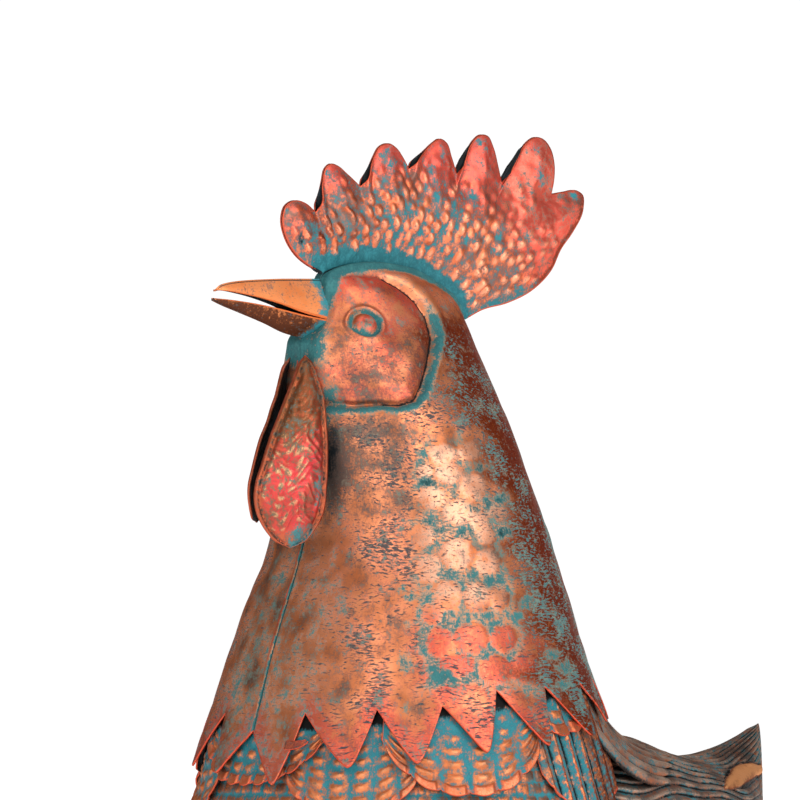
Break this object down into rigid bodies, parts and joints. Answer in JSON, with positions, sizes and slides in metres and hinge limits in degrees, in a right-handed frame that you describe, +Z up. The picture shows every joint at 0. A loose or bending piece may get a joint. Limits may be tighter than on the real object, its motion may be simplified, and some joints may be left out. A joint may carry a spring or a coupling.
{
  "type": "rooster bust",
  "caption": "Sheet-metal rooster bust with a tall comb, open beak, hanging wattles and a toothed neck hackle over a flat-cut shoulder.",
  "frame": {"origin": "on the flat underside, straight below the middle of the neck", "axes": "-X towards the beak, +X towards the tail, -Y towards the bird's left side, +Z up"},
  "size_m": [0.289, 0.1774, 0.2776],
  "materials": {
    "neck_metal": "copper lacquer with teal patina in the recesses",
    "comb_metal": "red copper lacquer",
    "beak_metal": "bright copper lacquer",
    "wattle_metal": "red copper lacquer with gold flecks",
    "body_metal": "dark teal patina",
    "feather_metal": "teal patina with rubbed copper edges"
  },
  "bodies": {
    "root": {"head_and_neck_left": "neck_metal", "head_and_neck_right": "neck_metal", "comb_left": "comb_metal", "comb_right": "comb_metal", "upper_beak": "beak_metal", "lower_beak": "beak_metal", "wattle_left": "wattle_metal", "wattle_right": "wattle_metal", "shoulders": "body_metal", "back": "body_metal", "breast_feather": "feather_metal", "side_feather_left": "feather_metal", "side_feather_right": "feather_metal", "shoulder_fan_left": "feather_metal", "shoulder_fan_right": "feather_metal", "back_feathers_left": "feather_metal", "back_feathers_right": "feather_metal", "saddle_feathers": "feather_metal"}
  },
  "joints": []
}
